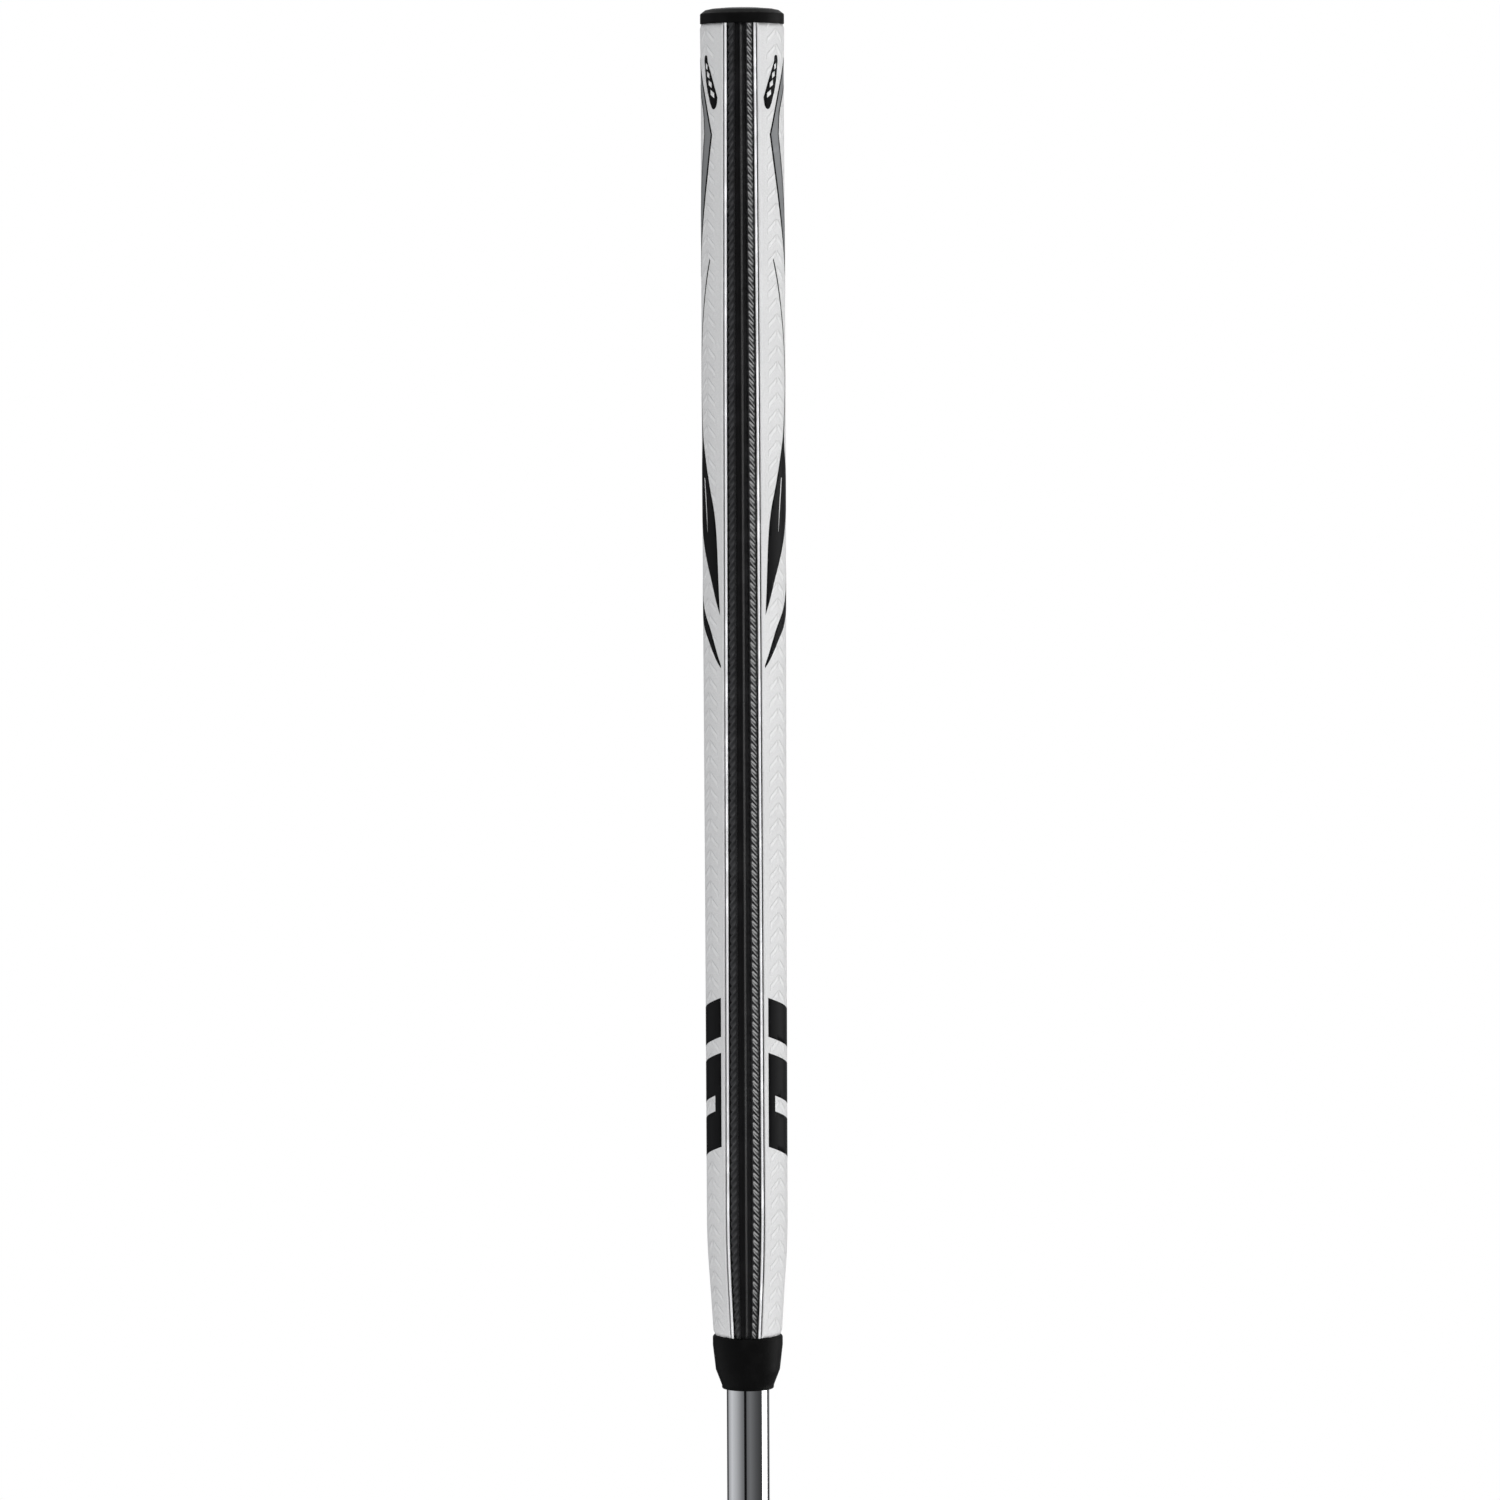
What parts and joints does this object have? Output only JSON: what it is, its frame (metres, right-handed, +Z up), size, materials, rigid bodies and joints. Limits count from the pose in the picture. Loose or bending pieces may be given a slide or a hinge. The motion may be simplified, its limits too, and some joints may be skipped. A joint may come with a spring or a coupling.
{
  "type": "mallet putter",
  "caption": "Counterbalanced golf putter: half-round mallet head with screw-in weights, bent neck, stepped chrome shaft and a long white grip with a black seam strip.",
  "frame": {"origin": "centre of the sole's flat contact face, on the ground, in the address pose", "axes": "+Z up; +Y towards the toe; -X the way the face looks; the shaft leans 20 degrees back over the heel, towards -Y"},
  "size_m": [0.072, 0.4038, 0.9099],
  "materials": {
    "shaft": "polished",
    "grip_tape": "matt",
    "grip_core": "matt",
    "grip_wrap": "embossed satin with printed black shapes",
    "seam_strip": "satin with raised braid",
    "seam_piping": "satin",
    "grip_badges": "satin",
    "grip_end_cap": "matt",
    "grip_collar": "matt",
    "butt_sleeve": "turned",
    "counterweight": "black oxide",
    "counterweight_seal": "matt",
    "hosel_neck": "satin",
    "neck_screw": "satin",
    "shaft_ferrule": "gloss",
    "head_body": "bead-blasted anodised",
    "face_insert": "milled",
    "insert_backing": "matt",
    "sight_lines": "paint fill",
    "sole_plate": "brushed",
    "sole_plate_screws": "satin",
    "heel_weight": "turned",
    "toe_weight": "turned",
    "heel_weight_seal": "matt",
    "toe_weight_seal": "matt"
  },
  "bodies": {
    "club": {"shaft": "shaft", "grip_tape": "grip_tape", "grip_core": "grip_core", "grip_wrap": "grip_wrap", "seam_strip": "seam_strip", "seam_piping": "seam_piping", "grip_badges": "grip_badges", "grip_end_cap": "grip_end_cap", "grip_collar": "grip_collar", "butt_sleeve": "butt_sleeve", "hosel_neck": "hosel_neck", "neck_screw": "neck_screw", "shaft_ferrule": "shaft_ferrule", "head_body": "head_body", "face_insert": "face_insert", "insert_backing": "insert_backing", "sight_lines": "sight_lines", "sole_plate": "sole_plate", "sole_plate_screws": "sole_plate_screws"},
    "counterweight": {"counterweight": "counterweight"},
    "counterweight_seal": {"counterweight_seal": "counterweight_seal"},
    "heel_weight": {"heel_weight": "heel_weight"},
    "heel_weight_seal": {"heel_weight_seal": "heel_weight_seal"},
    "toe_weight": {"toe_weight": "toe_weight"},
    "toe_weight_seal": {"toe_weight_seal": "toe_weight_seal"}
  },
  "joints": [
    {"name": "counterweight_lift", "type": "slide", "parent": "club", "child": "counterweight_seal", "axis": [0, -0.342, 0.9397], "range_m": [0, 0.012]},
    {"name": "counterweight_turn", "type": "hinge", "parent": "counterweight_seal", "child": "counterweight", "pos_m": [-0.0255, -0.34051, 0.90211], "axis": [0, -0.342, 0.9397], "range_deg": [0, 2880]},
    {"name": "heel_weight_drop", "type": "slide", "parent": "club", "child": "heel_weight_seal", "axis": [0, 0, -1], "range_m": [0, 0.006]},
    {"name": "heel_weight_turn", "type": "hinge", "parent": "heel_weight_seal", "child": "heel_weight", "pos_m": [-0.008, -0.0355, 0.005], "axis": [0, 0, -1], "range_deg": [0, 1728]},
    {"name": "toe_weight_drop", "type": "slide", "parent": "club", "child": "toe_weight_seal", "axis": [0, 0, -1], "range_m": [0, 0.006]},
    {"name": "toe_weight_turn", "type": "hinge", "parent": "toe_weight_seal", "child": "toe_weight", "pos_m": [-0.008, 0.0355, 0.005], "axis": [0, 0, -1], "range_deg": [0, 1728]}
  ],
  "couplings": [
    {"joint": "counterweight_turn", "follows": "counterweight_lift", "rad_per_m": 4188.8},
    {"joint": "heel_weight_turn", "follows": "heel_weight_drop", "rad_per_m": 5026.5},
    {"joint": "toe_weight_turn", "follows": "toe_weight_drop", "rad_per_m": 5026.5}
  ]
}
